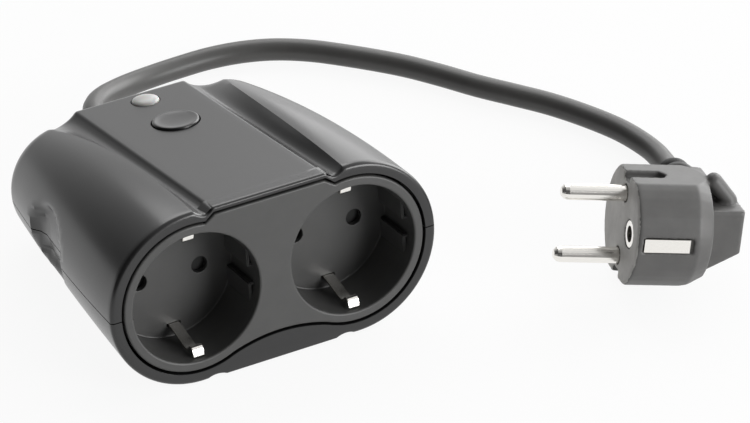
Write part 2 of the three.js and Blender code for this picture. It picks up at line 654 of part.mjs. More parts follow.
// Push button: a low crowned cap whose stem works the switch on the board
const stemRadius = 1.9;
const capSkirt = 3.4;
const stemReach = 7.3;
const capProfile = [
  [0, -buttonRise + 0.35], [buttonRadius - 1.6, -buttonRise + 0.12], [buttonRadius - 0.7, -buttonRise],
  [buttonRadius - 0.15, -buttonRise + 0.35], [buttonRadius, -buttonRise + 0.8], [buttonRadius, capSkirt],
  [buttonRadius - 1.3, capSkirt], [buttonRadius - 1.3, 1.4], [stemRadius, 1.4], [stemRadius, stemReach], [0, stemReach],
].map(([r, y]) => [r, -y]);
add(housing, 'push_button', onBand(turned(capProfile, 40), buttonAcross, buttonDepth), 'shell');
const axisTilt = -buttonTilt;
const stemFoot = [buttonDepth + Math.sin(axisTilt) * stemReach, bandLine(buttonDepth) - Math.cos(axisTilt) * stemReach];
const switchTop = stemFoot[1] - gap - 0.9;
const plunger = post(1.6, 0, 0, -2.0, 0.7, 16);
add(housing, 'switch_plunger', moved(plunger, buttonAcross, stemFoot[0], stemFoot[1] - gap - 0.75), 'dark');
const switchCase = caseBox(buttonAcross, stemFoot[0], 6, 6, boardTop + gap, switchTop - 0.35, 0.5);
const switchWell = post(1.6 + gap, buttonAcross, stemFoot[0], switchTop - 2.85, switchTop + 2, 16);
add(housing, 'tact_switch', cut(switchCase, switchWell), 'dark');

// Indicator: a light on the board and a milky lens with a light guide
const ledRadius = 1.6;
const ledHeight = 3.0;
const ledFoot = boardTop + gap;
add(housing, 'indicator_led', post(ledRadius, buttonAcross, lensDepth - 0.8, ledFoot, ledFoot + ledHeight, 16), 'lens');
const lensDrop = (bandLine(lensDepth) - (ledFoot + ledHeight + gap + 0.2)) / Math.cos(buttonTilt);
const lensProfile = [
  [0, lensRise], [lensRadius * 0.35, lensRise * 0.93], [lensRadius * 0.65, lensRise * 0.7], [lensRadius * 0.88, lensRise * 0.35],
  [lensRadius, 0.1], [lensRadius, -2.2], [1.5, -3.4], [1.5, -lensDrop], [0, -lensDrop],
];
add(housing, 'led_lens', onBand(turned(lensProfile, 32), buttonAcross, lensDepth), 'lens');

// Where the lead comes in: bend protector, clamp and the end of the sheath
const back = depth;
const ribs = 3;
function protectorProfile() {
  const inside = back - wall - gap;
  const points = [[0, inside - 2.2], [neckRadius + 1.8, inside - 2.2], [neckRadius + 1.8, inside], [neckRadius, inside], [neckRadius, back + gap],
    [reliefRadius, back + gap]];
  const tip = cordRadius + 0.9;
  const ribPitch = (reliefLength - 4) / ribs;
  for (let i = 0; i < ribs; i += 1) {
    const start = back + gap + 3 + i * ribPitch;
    const radius = between(reliefRadius, tip, (i + 0.5) / ribs);
    points.push([radius + 0.1, start], [radius - 0.9, start + 0.5], [radius - 0.9, start + ribPitch * 0.4], [radius, start + ribPitch * 0.5]);
  }
  points.push([tip, back + reliefLength], [0, back + reliefLength]);
  return points;
}
add(housing, 'cord_bend_protector', moved(turned(protectorProfile(), 24), 0, 0, cordHeight), 'rubber');
const tailBack = back - wall - gap - 2.2 - gap;
const tailFront = clampDepth - 6;
add(housing, 'cord_tail', barIn(cordRadius, 0, cordHeight, tailFront, tailBack, 20), 'rubber');
const clampLow = cordRadius + gap;
const bridge = outline([
  [-clampHalf - 2.6, -cordRadius], [-clampHalf - 2.6, clampLow + 1.6], [clampHalf + 2.6, clampLow + 1.6],
  [clampHalf + 2.6, -cordRadius], [cordRadius + gap, -cordRadius], [cordRadius + gap, clampLow],
  [-cordRadius - gap, clampLow], [-cordRadius - gap, -cordRadius],
]);
const clampBar = cut(intoDepth(bridge, clampDepth - 2.5, clampDepth + 2.5),
  ...[-1, 1].map((side) => post(screwRadius + gap, side * clampHalf, clampDepth, -10, 10)));
add(housing, 'cord_clamp', clampBar, 'inner');
const clampSeat = clampLow + 1.6 + gap;
[-1, 1].forEach((side, i) => {
  add(housing, `clamp_screw_${i + 1}`, screwUp(side * clampHalf, clampDepth, clampSeat, 14, -1), 'steel');
});

// Wires from the sheath to the rails and the board
const wireRadius = 1.1;
const wireStart = tailFront - gap;
const wires = {
  neutral: [[-1.6, wireStart, -1.2], [-1.6, wireStart - 3, -1.2], [-2.4, 62, -3.6], [-3.6, 50, -6.6],
    [-6, railDepth + sheet + gap + 3, -7.2], [-6, railDepth + sheet + gap, -7.2]],
  earth: [[1.6, wireStart, -1.2], [1.6, wireStart - 3, -1.2], [3, 60, -5], [5, 48, -11],
    [6, 42, -13.4], [6, carrierDepth + carrierThick + 4, -13.4]],
  live: [[0, wireStart, 1.8], [0, wireStart - 3, 1.8], [-1.2, 62, 1.6], [-4, 50, 2.2], [-5.4, 45.4, 4], [-5.4, 45, under]],
  switched: [[-1.4, 43.6, under], [-1.4, 43.4, 5.8], [-1, 40, 4.6], [-0.4, railDepth + sheet + gap + 2, 6.8],
    [-0.4, railDepth + sheet + gap, 7]],
};
for (const [role, points] of Object.entries(wires)) {
  add(housing, `wire_${role}`, tube(points, wireRadius), role === 'switched' ? 'live' : role);
}

// The housing stands with its middle over the origin; the lead and its plug hang on it.
const onCord = ['cord_bend_protector'];
model.updateMatrixWorld(true);
function boundsOf(meshes) {
  const box = new THREE.Box3();
  const corner = new THREE.Vector3();
  for (const mesh of meshes) {
    const spot = mesh.geometry.attributes.position;
    for (let i = 0; i < spot.count; i += 1) {
      box.expandByPoint(corner.fromBufferAttribute(spot, i).applyMatrix4(mesh.matrixWorld));
    }
  }
  return box;
}
const standing = boundsOf(housing.children.filter((mesh) => !onCord.includes(mesh.name)));
const middle = standing.getCenter(new THREE.Vector3());
housing.position.set(-middle.x, -middle.y, -standing.min.z);

// Plug, drawn with its pins along +X, their line along Z and its earth strips on +Y and -Y
const plug = new THREE.Group();
const alongPins = new THREE.Vector3(-0.938, 0.312, 0.149).normalize();
const pinLine = new THREE.Vector3(0.207, 0.159, 0.965);
const acrossPins = new THREE.Vector3().crossVectors(pinLine, alongPins).normalize();
pinLine.crossVectors(alongPins, acrossPins);
plug.quaternion.setFromRotationMatrix(new THREE.Matrix4().makeBasis(alongPins, acrossPins, pinLine));
plug.position.set(102.9, -16.5 - middle.y, 19.27);
model.add(plug);

// Turned shapes along the pins and along the lead; profiles are [distance, radius].
const lathePins = (profile, facets = round) => turned(profile.map(([x, r]) => [r, x]), facets).rotateZ(-Math.PI / 2);
const latheLead = (profile, facets = 24) => turned(profile.map(([y, r]) => [r, y]), facets);

function side(shape, from, to) {
  const geometry = new THREE.ExtrudeGeometry(shape, { depth: to - from, bevelEnabled: false, curveSegments: 6 });
  geometry.rotateX(Math.PI / 2);
  return tidy(geometry.translate(0, to, 0));
}
const plugTaperEnd = 15.6;
const plugRound = lathePins([
  [0, 0], [0, plugRadius - 0.6], [-0.6, plugRadius], [-plugTaper, plugRadius],
  [-plugBack, plugTaperEnd], [-plugBack, 0],
]);
const plugFlats = block(-60, 5, -40, 40, -plugFlat, plugFlat);
const softBlock = new THREE.ExtrudeGeometry(outline([
  [-plugBack + 3, plugLedge - 0.8], [-plugBlockBack + 0.8, plugLedge - 0.5], [-plugBlockBack + 0.8, -4.2],
  [-plugBack + 3, -11.4],
]), { depth: 2 * (plugBlockHalf - 0.8), bevelEnabled: true, bevelSize: 0.8, bevelThickness: 0.8, bevelSegments: 2 });
softBlock.rotateX(Math.PI / 2);
softBlock.translate(0, plugBlockHalf - 0.8, 0);
const shoulder = side(outline([
  [-plugBack + 2, plugFlat - 0.1], [-plugBack - 1.2, plugFlat - 0.4], [-plugStem - 0.5, plugLedge - 0.5],
  [-plugBack + 2, plugLedge - 0.5],
]), -8.2, 0.5);
const ribEnds = [plugRibTop, plugRibFoot].map(([a, b]) => new THREE.Vector3(a, plugRibAcross, b));
const ribWay = ribEnds[1].clone().sub(ribEnds[0]);
const pullRib = tidy(new THREE.CapsuleGeometry(plugRibRadius, ribWay.length(), 5, 14));
pullRib.applyQuaternion(new THREE.Quaternion().setFromUnitVectors(new THREE.Vector3(0, 1, 0), ribWay.clone().normalize()));
pullRib.translate(...ribEnds[0].clone().lerp(ribEnds[1], 0.5).toArray());
const stemNeck = latheLead([[-5, 0], [-5, 8.3], [-plugStemStart - 8.5, 8.3], [-plugStemStart - 10, 7.2], [-plugStemStart - 10, 0]])
  .translate(-plugStem + 2.2, 0, 0);
const belly = side(outline([[-17, -plugFlat], [-60, 12.6], [-60, -40], [-17, -40]]), -30, 30);
let plugShape = join(overlap(plugRound, plugFlats), softBlock, shoulder, stemNeck, pullRib);
plugShape = cut(plugShape, belly);

const stripLong = 13.5;
const stripStart = 2.2;
const stripHalf = 1.95;
const stripThick = 1.0;
const guide = (up) => upwards(outline([
  [0.5, -2.6], [-10, -2.6], [-11.6, 0], [-10, 2.6], [0.5, 2.6],
]), up > 0 ? plugFlat - 2.2 : -plugFlat - 1, up > 0 ? plugFlat + 1 : -plugFlat + 2.2);
const stripSeat = (way) => block(-stripStart - stripLong - 1.2, -stripStart + gap,
  way > 0 ? plugRadius - 1.6 : -plugRadius - 1, way > 0 ? plugRadius + 1 : -plugRadius + 1.6, -stripHalf - gap, stripHalf + gap);
const earthSocketAcross = 8;
const earthSocketRadius = 3.9;
const earthSocketHole = 2.4;
const socketSeat = lathePins([[1, 0], [1, earthSocketRadius + gap], [-8, earthSocketRadius + gap], [-8, 0]], 24)
  .translate(0, earthSocketAcross, 0);
const pinSeats = [-1, 1].map((s) => lathePins([[1, 0], [1, plugPin + gap], [-10, plugPin + gap], [-10, 0]], 24)
  .translate(0, 0, s * pinPitch / 2));
const neckReach = plugStemStart + 10;
const stemSeat = latheLead([[-neckReach + 6, 0], [-neckReach + 6, 4.2 + gap], [-neckReach - 2, 4.2 + gap], [-neckReach - 2, 0]])
  .translate(-plugStem, 0, 0);
add(plug, 'plug_body', cut(plugShape, guide(1), guide(-1), stripSeat(1), stripSeat(-1), socketSeat, ...pinSeats, stemSeat), 'plug');
[-1, 1].forEach((s, i) => {
  const inside = 9.7;
  const pin = lathePins([
    [plugPinLength, 0], [plugPinLength, plugPin - 1.2], [plugPinLength - 0.9, plugPin - 0.3],
    [plugPinLength - 2, plugPin], [-inside, plugPin], [-inside, 0],
  ], 24).translate(0, 0, s * pinPitch / 2);
  add(plug, `plug_pin_${i + 1}`, pin, 'nickel');
});
for (const [name, way] of [['near', 1], ['far', -1]]) {
  const [low, high] = [plugRadius - 1.3, plugRadius - 0.1];
  const strip = block(-stripStart - stripLong, -stripStart, way > 0 ? low : -high, way > 0 ? high : -low, -stripHalf, stripHalf);
  add(plug, `plug_earth_strip_${name}`, strip, 'nickel');
}
const insert = lathePins([
  [-0.3, earthSocketHole], [-0.3, earthSocketRadius], [-7, earthSocketRadius], [-7, earthSocketHole], [-0.3, earthSocketHole],
], 24);
add(plug, 'plug_earth_socket', insert.translate(0, earthSocketAcross, 0), 'nickel');

// Strain relief of the plug: a tapered, grooved sleeve
function sleeveProfile() {
  const start = neckReach - 5;
  const points = [[-start, 0], [-start, 4.2], [-neckReach - gap, 4.2], [-neckReach - gap, 6.9]];
  const rings = 5;
  const ringPitch = (plugStemEnd - neckReach - 5) / rings;
  for (let i = 0; i < rings; i += 1) {
    const at = neckReach + 1.6 + i * ringPitch;
    const radius = between(plugSleeveStart, plugSleeveEnd, i / rings);
    points.push([-at, radius], [-at - 0.4, radius - 1.1], [-at - 1.6, radius - 1.2], [-at - 2.0, radius - 0.15]);
  }
  points.push([-plugStemEnd, plugSleeveTip], [-plugStemEnd, 0]);
  return points;
}
add(plug, 'plug_strain_relief', latheLead(sleeveProfile(), 20).translate(-plugStem, 0, 0), 'rubber');

// Lead, lying on the table. The points are in the standing frame.
model.updateMatrixWorld(true);
const leadStart = new THREE.Vector3(0, back + gap + reliefLength, cordHeight).applyMatrix4(housing.matrixWorld);
const leadOut = new THREE.Vector3(0, 1, 0).transformDirection(housing.matrixWorld);
const leadEnd = new THREE.Vector3(-plugStem, -plugStemEnd, 0).applyMatrix4(plug.matrixWorld);
const leadIn = new THREE.Vector3(0, 1, 0).transformDirection(plug.matrixWorld);
const route = [
  [0.7, 116.8, 11.9], [2.8, 122.8, 10.9], [6.2, 128.1, 9.7], [10.6, 132.4, 8.4], [15.4, 135.6, 7.1],
  [22, 138.9, 5.7], [30.8, 141.6, 4.5], [41, 143.3, 3.8], [52.5, 143.8, 3.55], [63, 142.2, 3.55],
  [72.6, 138.7, 3.55], [81.5, 133, 3.55], [89.1, 126.1, 3.55], [102.4, 111.7, 3.55], [110, 101, 3.55],
  [117.3, 89.4, 3.55], [124.5, 79.5, 3.55], [131.2, 70, 3.55], [137.2, 59, 3.55], [142, 47.5, 3.55],
  [144, 39, 3.55], [144.6, 31, 3.7],
].map(([x, y, z]) => new THREE.Vector3(x, y - middle.y, z));
const ahead = (from, way, far) => from.clone().addScaledVector(way, far);
const points = [
  ahead(leadStart, leadOut, gap), ahead(leadStart, leadOut, 3), ...route,
  ahead(leadEnd, leadIn, -5), ahead(leadEnd, leadIn, -gap),
];
const lead = new THREE.Shape();
lead.absarc(0, 0, cordRadius, 0, Math.PI * 2);
const path = new THREE.CatmullRomCurve3(points, false, 'centripetal');
add(model, 'cord', new THREE.ExtrudeGeometry(lead, { steps: 72, bevelEnabled: false, extrudePath: path, curveSegments: 5 }), 'rubber');

export { standing, middle, points };
export default model;
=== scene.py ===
# %% [markdown]
# This is a two-way smart power strip. Its housing is one tapering, grooved form of dark
# moulded plastic, with two deep round sockets in the leaning front, a button and a light on
# top, and a short lead to an angled plug. The CAD model gives every size. This script dresses
# that model: it remakes the visible mouldings with soft edges and gives each part its finish.

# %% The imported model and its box
import json
import math

import bmesh
import bpy
from mathutils import Matrix, Vector


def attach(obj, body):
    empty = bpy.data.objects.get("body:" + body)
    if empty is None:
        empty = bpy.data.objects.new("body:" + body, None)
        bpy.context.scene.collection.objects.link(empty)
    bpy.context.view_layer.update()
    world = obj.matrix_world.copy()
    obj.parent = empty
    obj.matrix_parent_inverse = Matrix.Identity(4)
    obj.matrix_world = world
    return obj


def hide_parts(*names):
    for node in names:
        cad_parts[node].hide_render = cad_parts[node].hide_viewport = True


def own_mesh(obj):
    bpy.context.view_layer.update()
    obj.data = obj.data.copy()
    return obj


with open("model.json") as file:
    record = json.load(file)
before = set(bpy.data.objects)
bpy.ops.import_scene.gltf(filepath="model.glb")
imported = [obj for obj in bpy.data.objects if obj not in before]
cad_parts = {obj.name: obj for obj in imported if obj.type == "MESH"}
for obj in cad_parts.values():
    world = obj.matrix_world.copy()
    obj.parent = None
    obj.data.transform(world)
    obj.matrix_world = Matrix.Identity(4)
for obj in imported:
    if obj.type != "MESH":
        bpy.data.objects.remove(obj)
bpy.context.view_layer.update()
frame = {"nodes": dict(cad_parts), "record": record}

# %% [markdown]
# The photograph was taken with a long lens from the left and above. A camera far away with a
# narrow angle keeps the sockets' circles nearly parallel, as the photograph shows them. The
# place and the lens were solved from the sockets' known sizes before anything was modelled.

# %% Camera
MM = 0.001
camera_data = bpy.data.cameras.new("camera")
camera_data.sensor_width = 36
camera_data.lens = 212.8
camera_data.clip_start = 0.05
camera_data.clip_end = 20
camera = bpy.data.objects.new("camera", camera_data)
camera.location = (-0.47046, -0.94872, 0.72595)
looking = Vector((0.40398, 0.72761, -0.55442))
camera.rotation_mode = "QUATERNION"
camera.rotation_quaternion = looking.to_track_quat("-Z", "Y")
bpy.context.scene.collection.objects.link(camera)
bpy.context.scene.camera = camera
print("camera", camera.location)

# %% [markdown]
# Shader maths reads best as plain expressions. Value wraps one output of a node, and its
# operators add Math nodes. Graph makes every other node with one method, which takes the
# settings first and then the values or links of the sockets. Finish is one material.

# %% Shader helpers
class Value:
    def __init__(self, finish, socket):
        self.finish = finish
        self.socket = socket

    def _math(self, operation, first, second):
        return self.finish.node("ShaderNodeMath", {"operation": operation}, {0: first, 1: second})

    def __add__(self, other):
        return self._math("ADD", self, other)

    def __radd__(self, other):
        return self._math("ADD", other, self)

    def __mul__(self, other):
        return self._math("MULTIPLY", self, other)

    def __rmul__(self, other):
        return self._math("MULTIPLY", other, self)


class Graph:
    def __init__(self, tree):
        self.tree = tree

    def node(self, kind, settings=None, sockets=None, output=0):
        made = self.tree.nodes.new(kind)
        for key, value in (settings or {}).items():
            setattr(made, key, value)
        for key, value in (sockets or {}).items():
            if isinstance(value, Value):
                self.tree.links.new(value.socket, made.inputs[key])
            else:
                made.inputs[key].default_value = value
        return Value(self, made.outputs[output])


class Finish(Graph):
    def __init__(self, name, **fixed):
        self.material = bpy.data.materials.new(name)
        self.material.use_nodes = True
        super().__init__(self.material.node_tree)
        self.surface = self.tree.nodes["Principled BSDF"]
        for socket, value in fixed.items():
            self.surface.inputs[socket.replace("_", " ").title()].default_value = value

    def drive(self, **links):
        for socket, value in links.items():
            self.tree.links.new(value.socket, self.surface.inputs[socket.replace("_", " ").title()])

    def place(self):
        return self.node("ShaderNodeTexCoord", output="Object")

    def noise(self, scale, detail=2.0, rough=0.5):
        sockets = {"Vector": self.place(), "Scale": scale, "Detail": detail, "Roughness": rough}
        return self.node("ShaderNodeTexNoise", sockets=sockets)

    def blend(self, mask, first, second):
        made = {0: mask, 6: (*first, 1), 7: (*second, 1)}
        return self.node("ShaderNodeMix", {"data_type": "RGBA"}, made, output=2)

    def bump(self, height, strength, distance):
        made = {"Height": height, "Strength": strength, "Distance": distance}
        return self.node("ShaderNodeBump", sockets=made)

# %% [markdown]
# Moulded plastic is never one flat colour. The tool's spark-eroded texture leaves a fine
# grain that softens highlights, and handling varies the gloss a little. Each plastic here
# is a dark colour with slight mottling, a roughness that drifts, and a very fine bump.

# %% Plastics and rubber
def plastic(name, dark, light, rough, grain, depth, drift=0.05, **fixed):
    made = Finish(name, **fixed)
    mottle = made.noise(140, 3.0, 0.6)
    made.drive(base_color=made.blend(mottle, dark, light))
    made.drive(roughness=made.noise(60, 2.0) * drift + (rough - drift / 2))
    made.drive(normal=made.bump(made.noise(grain, 2.0, 0.6), 0.35, depth))
    return made.material


finishes = {
    "shell": plastic("satin_shell", (0.007, 0.007, 0.0073), (0.011, 0.011, 0.0113), 0.3, 3800, 0.000004,
                     coat_weight=0.25, coat_roughness=0.2),
    "panel": plastic("grained_panel", (0.056, 0.056, 0.055), (0.074, 0.074, 0.0725), 0.44, 3200, 0.00003),
    "inner": plastic("plain_black", (0.012, 0.012, 0.012), (0.018, 0.018, 0.018), 0.55, 2500, 0.00003),
    "dark_case": plastic("dark_case", (0.012, 0.012, 0.013), (0.02, 0.02, 0.021), 0.5, 2500, 0.00003),
    "relay_case": plastic("blue_case", (0.02, 0.09, 0.26), (0.03, 0.11, 0.3), 0.3, 1800, 0.00002),
    "plug_plastic": plastic("grained_plug", (0.08, 0.079, 0.077), (0.13, 0.128, 0.125), 0.46, 2400, 0.00006),
    "soft_rubber": plastic("soft_rubber", (0.03, 0.03, 0.03), (0.045, 0.045, 0.045), 0.55, 2600, 0.00005),
    "sheath": plastic("cord_sheath", (0.062, 0.061, 0.059), (0.085, 0.083, 0.08), 0.4, 1600, 0.00006),
    "lens": plastic("milky_lens", (0.5, 0.5, 0.49), (0.58, 0.58, 0.57), 0.3, 900, 0.00001,
                    subsurface_weight=0.2, subsurface_scale=0.002),
    "live_wire": plastic("brown_wire", (0.1, 0.045, 0.02), (0.13, 0.06, 0.03), 0.5, 1800, 0.00002),
    "neutral_wire": plastic("blue_wire", (0.02, 0.08, 0.32), (0.03, 0.1, 0.38), 0.5, 1800, 0.00002),
}
print("plastics", len(finishes))

# %% [markdown]
# The metals are drawn or stamped. Drawing leaves fine lines along the part, so their
# roughness follows a noise that is stretched, and the plating stays bright between them.

# %% Metals, board and striped wire
def metal(name, dull, bright, rough, stretch=(1, 1, 12)):
    made = Finish(name, metallic=1.0)
    stretched = made.node("ShaderNodeMapping", sockets={"Vector": made.place(), "Scale": stretch})
    lines = made.node("ShaderNodeTexNoise", sockets={"Vector": stretched, "Scale": 420.0, "Detail": 3.0})
    made.drive(base_color=made.blend(lines, dull, bright), roughness=lines * 0.08 + (rough - 0.04))
    made.drive(normal=made.bump(lines, 0.06, 0.00001))
    return made.material


def board():
    made = Finish("solder_mask", coat_weight=0.4, coat_roughness=0.15)
    tracks = made.node("ShaderNodeTexBrick", sockets={
        "Vector": made.place(), "Scale": 160.0, "Mortar Size": 0.03})
    mask = made.node("ShaderNodeMath", {"operation": "GREATER_THAN"}, {0: tracks, 1: 0.4})
    made.drive(base_color=made.blend(mask, (0.012, 0.09, 0.035), (0.018, 0.12, 0.05)))
    made.drive(roughness=made.noise(300, 2.0) * 0.1 + 0.35)
    return made.material


def striped_wire():
    made = Finish("striped_wire", roughness=0.5)
    turn = {"wave_type": "BANDS", "bands_direction": "X"}
    stripes = made.node("ShaderNodeTexWave", turn, {"Vector": made.place(), "Scale": 260.0})
    mask = made.node("ShaderNodeMath", {"operation": "GREATER_THAN"}, {0: stripes, 1: 0.55})
    made.drive(base_color=made.blend(mask, (0.02, 0.25, 0.05), (0.65, 0.55, 0.03)))
    return made.material


finishes.update({
    "contact_brass": metal("stamped_brass", (0.55, 0.4, 0.16), (0.78, 0.6, 0.28), 0.35),
    "contact_nickel": metal("nickel_plate", (0.82, 0.8, 0.76), (0.92, 0.9, 0.86), 0.2),
    "spring_steel": metal("drawn_wire", (0.4, 0.4, 0.4), (0.6, 0.6, 0.6), 0.35),
    "screw_steel": metal("plain_steel", (0.42, 0.42, 0.43), (0.62, 0.62, 0.63), 0.38),
    "copper": metal("enamelled_winding", (0.42, 0.15, 0.05), (0.62, 0.26, 0.1), 0.3),
    "board": board(),
    "earth_wire": striped_wire(),
})
for part in frame["record"]["subparts"]:
    shown = frame["nodes"][part["node"]]
    shown.data.materials.clear()
    shown.data.materials.append(finishes[part["material_slot"]])
print("finishes", len(finishes))

# %% [markdown]
# The lead is the whole of a short, fairly stiff mains cord. It leaves the back of the
# housing, sinks to the table in an easy bend and runs in one loose curve to the plug. Its
# centreline is a Catmull-Rom curve through the points that the CAD model uses.

# %% Lead
cord_points = [
    (0, 64.13, 12.95), (0, 66.81, 12.62), (0.7, 72.14, 11.9), (2.8, 78.14, 10.9), (6.2, 83.44, 9.7),
    (10.6, 87.74, 8.4), (15.4, 90.94, 7.1), (22, 94.24, 5.7), (30.8, 96.94, 4.5), (41, 98.64, 3.8),
    (52.5, 99.14, 3.55), (63, 97.54, 3.55), (72.6, 94.04, 3.55), (81.5, 88.34, 3.55),
    (89.1, 81.44, 3.55), (102.4, 67.04, 3.55), (110, 56.34, 3.55), (117.3, 44.74, 3.55),
    (124.5, 34.84, 3.55), (131.2, 25.34, 3.55), (137.2, 14.34, 3.55), (142, 2.84, 3.55),
    (144, -5.66, 3.55), (144.6, -13.66, 3.7), (143.33, -22.13, 4.19), (142.02, -26.53, 5.19),
]
cord_points = [Vector(point) * MM for point in cord_points]
CORD_RADIUS = 3.5


def smooth_route(points, steps=8):
    ends = [2 * points[0] - points[1], *points, 2 * points[-1] - points[-2]]
    route = []
    for a, b, c, d in zip(ends, ends[1:], ends[2:], ends[3:]):
        t0 = 0.0
        t1 = t0 + (b - a).length ** 0.5
        t2 = t1 + (c - b).length ** 0.5
        t3 = t2 + (d - c).length ** 0.5
        for k in range(steps):
            t = t1 + (t2 - t1) * k / steps
            ab = a * ((t1 - t) / (t1 - t0)) + b * ((t - t0) / (t1 - t0))
            bc = b * ((t2 - t) / (t2 - t1)) + c * ((t - t1) / (t2 - t1))
            cd = c * ((t3 - t) / (t3 - t2)) + d * ((t - t2) / (t3 - t2))
            abc = ab * ((t2 - t) / (t2 - t0)) + bc * ((t - t0) / (t2 - t0))
            bcd = bc * ((t3 - t) / (t3 - t1)) + cd * ((t - t1) / (t3 - t1))
            route.append(abc * ((t2 - t) / (t2 - t1)) + bcd * ((t - t1) / (t2 - t1)))
    return [*route, points[-1]]


cord_route = smooth_route(cord_points)
cord_length = sum((b - a).length for a, b in zip(cord_route, cord_route[1:]))
cord_curve = bpy.data.curves.new("lead", "CURVE")
cord_curve.dimensions = "3D"
cord_curve.bevel_depth = CORD_RADIUS * MM
cord_curve.bevel_resolution = 6
cord_curve.use_fill_caps = True
spline = cord_curve.splines.new("POLY")
spline.points.add(len(cord_route) - 1)
for knot, place in zip(spline.points, cord_route):
    knot.co = (*place, 1)
cord_curve.materials.append(finishes["sheath"])
lead = bpy.data.objects.new("lead", cord_curve)
bpy.context.scene.collection.objects.link(lead)
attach(lead, "housing")
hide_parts("cord")
on_cord = [frame["nodes"][name] for name in frame["record"]["physics"]["cord_nodes"] if name != "cord"]
print("lead length", round(cord_length, 4))

# %% [markdown]
# The housing is drawn in its own upright frame, u to the right, d into the depth and v up,
# and then leaned back by seven degrees. Its section changes with depth: two round ends that
# shrink, a straight band on top with a groove on each side, and a flat underside that stays
# level on the table. These are the numbers of the CAD model.

# %% The housing's section
LEAN = math.radians(7)
housing_place = Matrix.Translation((0, -44.656 * MM, 26.302 * MM)) @ Matrix.Rotation(-LEAN, 4, "X")
HALF = 24.7
DEPTH = 91.0
FRONT_EDGE = 1.2
BAND_ROLL = 0.6
BACK_ROLL = 8.0
BACK_BAND_ROLL = 2.6
PARTING = 0.15
BAND_HALF = 17.0
BAND_EDGE = 1.3
BAND_SLOPE = 0.0745


def mixed(a, b, share):
    return a + (b - a) * share


def lobe_radius(d):
    return 26.5 - 0.042 * d - 0.00073 * d * d


def base_line(d):
    return -26.5 + math.tan(LEAN) * d


def band_line(d):
    return 26.4 - BAND_SLOPE * d


def curve_between(p0, p1, p2, p3, steps):
    found = []
    for k in range(1, steps + 1):
        t = k / steps
        s = 1 - t
        found.append(tuple(s ** 3 * a + 3 * s * s * t * b + 3 * s * t * t * c + t ** 3 * e
                           for a, b, c, e in zip(p0, p1, p2, p3)))
    return found


def section(d, lobe_skin, band_skin):
    share = d / DEPTH
    radius = lobe_radius(d) - lobe_skin
    centre = base_line(d) + lobe_radius(d)
    band = band_line(d) - band_skin
    low = band - mixed(2.0, 2.7, share)
    valley = mixed(20.9, 21.9, share)
    crease = mixed(23.4, 29.6, share ** 3)
    ridge = (crease, centre + math.sqrt(max(radius ** 2 - (crease - HALF) ** 2, 0)))
    top = [(u, band) for u in (0, 4, 8, 12, 15, BAND_HALF)]
    for turn in (math.radians(a) for a in range(10, 61, 10)):
        top.append((BAND_HALF + BAND_EDGE * math.sin(turn), band - BAND_EDGE + BAND_EDGE * math.cos(turn)))
    top += curve_between(top[-1], (valley - 1.6, low + 0.2), (valley - 0.2, low - 0.25), ridge, 14)
    start = math.acos((crease - HALF) / radius)
    split_up = math.asin((PARTING - centre) / radius)
    split_down = math.asin((-PARTING - centre) / radius)
    for k in range(1, 41):
        angle = mixed(start, split_up, k / 40)
        top.append((HALF + radius * math.cos(angle), centre + radius * math.sin(angle)))
    under = []
    for k in range(41):
        angle = mixed(split_down, -math.pi / 2 - 0.06, k / 40)
        under.append((HALF + radius * math.cos(angle), centre + radius * math.sin(angle)))
    base = base_line(d) + band_skin
    under += curve_between(under[-1], (21.6, base + 0.9), (19.4, base + 1.0), (17.4, base), 8)
    under += [(u, base) for u in (15, 11, 7, 3, 0)]
    return top, under


print("points round the half section", *(len(points) for points in section(0, 1, 1)))

# %% [markdown]
# The front edge rolls over into a lip, and the panel sits inside that lip with a thin dark
# gap. The lip's outline has as many points as the section, so that the skin can run from
# one to the other without a seam.

# %% The lip round the panel
def lip(grow):
    radius = 22.4 + grow
    join = math.pi - math.acos(4.47 / radius)
    shoulder = (17.2 + grow * 0.4, 24.1 + grow)
    arc_start = (HALF + radius * math.cos(join), radius * math.sin(join))
    bend = 45.5 - grow
    turn = math.asin(16.4 / bend)
    bend_centre = -17.7 - grow - bend
    low = math.atan2(bend_centre + bend * math.cos(turn), 16.4 - HALF)
    top = [(shoulder[0] * k / 5, shoulder[1]) for k in range(6)]
    top += [tuple(mixed(a, b, k / 20) for a, b in zip(shoulder, arc_start)) for k in range(1, 21)]
    for k in range(1, 41):
        angle = mixed(join, math.asin(PARTING / radius), k / 40)
        top.append((HALF + radius * math.cos(angle), radius * math.sin(angle)))
    under = []
    for k in range(41):
        angle = mixed(math.asin(-PARTING / radius), low, k / 40)
        under.append((HALF + radius * math.cos(angle), radius * math.sin(angle)))
    for k in range(1, 14):
        angle = mixed(turn, 0, k / 13)
        under.append((bend * math.sin(angle), bend_centre + bend * math.cos(angle)))
    return top, under


print("lip points", len(lip(0)[0]), len(lip(0)[1]))

# %% [markdown]
# Rows of these sections, set closer where the form turns, make the skin as one grid. The
# finger grips at both ends are pressed in by moving points inwards, which keeps their edge
# soft. The same rows serve the upper and the lower shell, split at the parting line.

# %% Rows of the skin
def roll(run, radius):
    return 0.0 if run <= 0 else radius - math.sqrt(max(radius * radius - run * run, 0))


